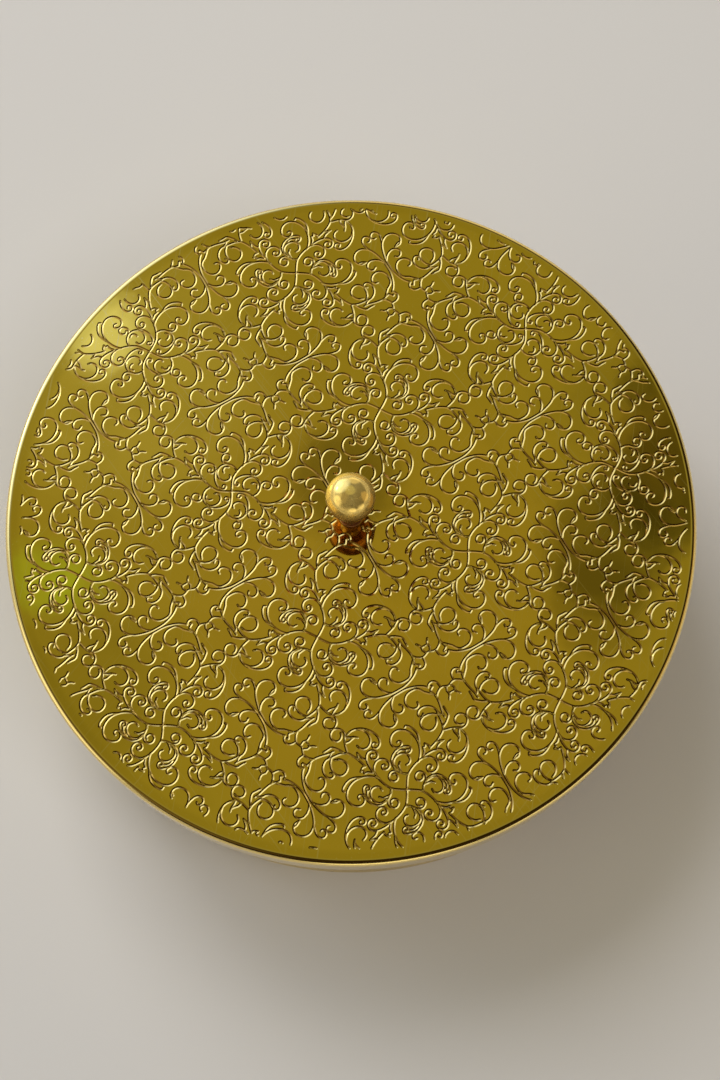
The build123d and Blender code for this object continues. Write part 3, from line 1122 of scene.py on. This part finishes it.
# %% The room round the box
WINDOW_SIDE = (-0.9, 0.35, 0.0)
ROOM_DARK = (0.022, 0.012, 0.002)
ROOM_PARTS = [
    # middle of the part, degrees where it is full and where it ends, radiance
    ((-0.58, 0.68, 0.45), 18.0, 40.0, (1.05, 1.25, 1.60)),    # window
    ((-0.68, 0.66, 0.32), 8.0, 22.0, (0.7, 0.76, 0.85)),      # its brighter part
    ((-0.78, 0.52, 0.35), 5.0, 8.0, (3.0, 3.1, 3.2)),         # its brightest part
    ((-0.85, 0.10, 0.50), 10.0, 28.0, (0.45, 0.48, 0.48)),    # wall beside the window
    ((-0.88, -0.30, 0.36), 12.0, 24.0, (0.95, 0.92, 0.75)),   # pale wall on the left
    ((-0.55, -0.28, 0.79), 8.0, 30.0, (0.12, 0.09, 0.03)),    # its dim upper part
    ((0.86, -0.05, 0.30), 14.0, 24.0, (0.40, 0.30, 0.14)),    # brown wall on the right
    ((0.25, 0.92, 0.30), 12.0, 26.0, (0.50, 0.44, 0.28)),     # wall behind
    ((0.12, -0.97, 0.12), 12.0, 20.0, (0.85, 0.80, 0.62)),    # pale wall in front
    ((0.66, -0.70, 0.10), 10.0, 18.0, (0.62, 0.57, 0.44)),    # the rest of it
    ((0.0, 0.28, 0.96), 16.0, 28.0, (0.290, 0.290, 0.13)),    # ceiling over the box
    ((0.027, 0.216, 0.976), 3.0, 9.0, (0.018, 0.0, 0.0)),     # a warmer place on it
    ((-0.083, 0.280, 0.956), 2.0, 7.0, (0.012, 0.01, 0.03)),  # a paler place on it
    ((-0.133, 0.369, 0.920), 0.3, 1.7, (0.42, 0.57, 1.40)),   # the window's gleam on it
    ((-0.122, 0.350, 0.929), 1.0, 5.5, (0.07, 0.09, 0.14)),   # light round the gleam
    ((-0.171, 0.239, 0.956), 0.5, 1.6, (0.04, 0.16, 0.0)),    # a green gleam on it
    ((-0.150, 0.236, 0.960), 0.3, 1.3, (0.02, 0.09, 0.0)),    # the rest of the gleam
    ((0.168, 0.300, 0.939), 0.6, 2.2, (0.03, 0.0, 0.0)),      # a red gleam on it
]
WALL_TOP = 0.30               # height, as a sine, where the foot of the walls ends
WALL_FULL = 0.20
LEFT_WALL = 0.65              # brightness of the walls' foot at the window and opposite it
RIGHT_WALL = 0.45
WALL_LIGHT = (1.0, 0.94, 0.80)
DARK_PARTS = [
    # middle of the part, degrees where it is full and where it ends, share of light it takes
    ((0.142, 0.251, 0.957), 1.5, 2.6, 0.45),      # a shade at the right, in seven parts
    ((0.172, 0.275, 0.946), 1.1, 2.4, 0.45),
    ((0.134, 0.220, 0.966), 1.1, 2.2, 0.32),
    ((0.180, 0.288, 0.941), 1.4, 2.6, 0.40),
    ((0.177, 0.315, 0.933), 0.6, 1.8, 0.26),
    ((0.152, 0.324, 0.934), 0.8, 2.8, 0.20),
    ((0.160, 0.333, 0.929), 0.3, 0.9, 0.45),
    ((-0.003, 0.291, 0.956), 0.8, 2.2, 0.46),     # a shade round the knob
    ((-0.146, 0.180, 0.973), 0.5, 3.6, 0.16),     # a shade at the lower left
]


def near_side(tree, direction, side):
    """Cosine between each direction and one side of the room."""
    return add(
        tree, "ShaderNodeVectorMath", {0: direction, 1: Vector(side).normalized()},
        operation="DOT_PRODUCT",
    ).outputs["Value"]


def soft_step(tree, value, low, high):
    """0 below the low value, 1 above the high one, with a soft step between."""
    step = add(tree, "ShaderNodeMapRange", {
        "Value": value, "From Min": low, "From Max": high,
    }, interpolation_type="SMOOTHSTEP")
    return step.outputs["Result"]


def room_part(tree, direction, side, full, end):
    """How much of a direction lies in one part of the room: 1 in its middle, 0 outside."""
    cosine = near_side(tree, direction, side)
    return soft_step(tree, cosine, math.cos(math.radians(end)), math.cos(math.radians(full)))


def lit(tree, so_far, share, radiance):
    """Adds a share of some radiance to the light so far."""
    light = add(tree, "ShaderNodeVectorMath", {0: radiance, "Scale": share}, operation="SCALE")
    total = add(
        tree, "ShaderNodeVectorMath", {0: so_far, 1: light.outputs["Vector"]}, operation="ADD"
    )
    return total.outputs["Vector"]


def make_room():
    """A room with a window at the upper left, lit walls and a plain ceiling."""
    world = bpy.data.worlds.new("studio_room")
    bpy.context.scene.world = world
    world.use_nodes = True
    tree = world.node_tree
    direction = add(tree, "ShaderNodeTexCoord").outputs["Generated"]
    light = ROOM_DARK
    for side, full, end, radiance in ROOM_PARTS:
        light = lit(tree, light, room_part(tree, direction, side, full, end), radiance)
    height = add(tree, "ShaderNodeSeparateXYZ", {"Vector": direction}).outputs["Z"]
    below_top = calculate(tree, "SUBTRACT", 1.0, soft_step(tree, height, WALL_FULL, WALL_TOP))
    to_window = near_side(tree, direction, WINDOW_SIDE)
    wall_brightness = between(tree, to_window, -1.0, 1.0, RIGHT_WALL, LEFT_WALL)
    walls = calculate(tree, "MULTIPLY", below_top, wall_brightness)
    light = lit(tree, light, walls, WALL_LIGHT)
    left_over = 1.0
    for side, full, end, share in DARK_PARTS:
        taken = calculate(tree, "MULTIPLY", room_part(tree, direction, side, full, end), share)
        kept = calculate(tree, "SUBTRACT", 1.0, taken)
        left_over = calculate(tree, "MULTIPLY", left_over, kept)
    background = tree.nodes["Background"]
    tree.links.new(light, background.inputs["Color"])
    tree.links.new(left_over, background.inputs["Strength"])


make_room()
bpy.context.scene.view_settings.view_transform = "Standard"
print("room ready")
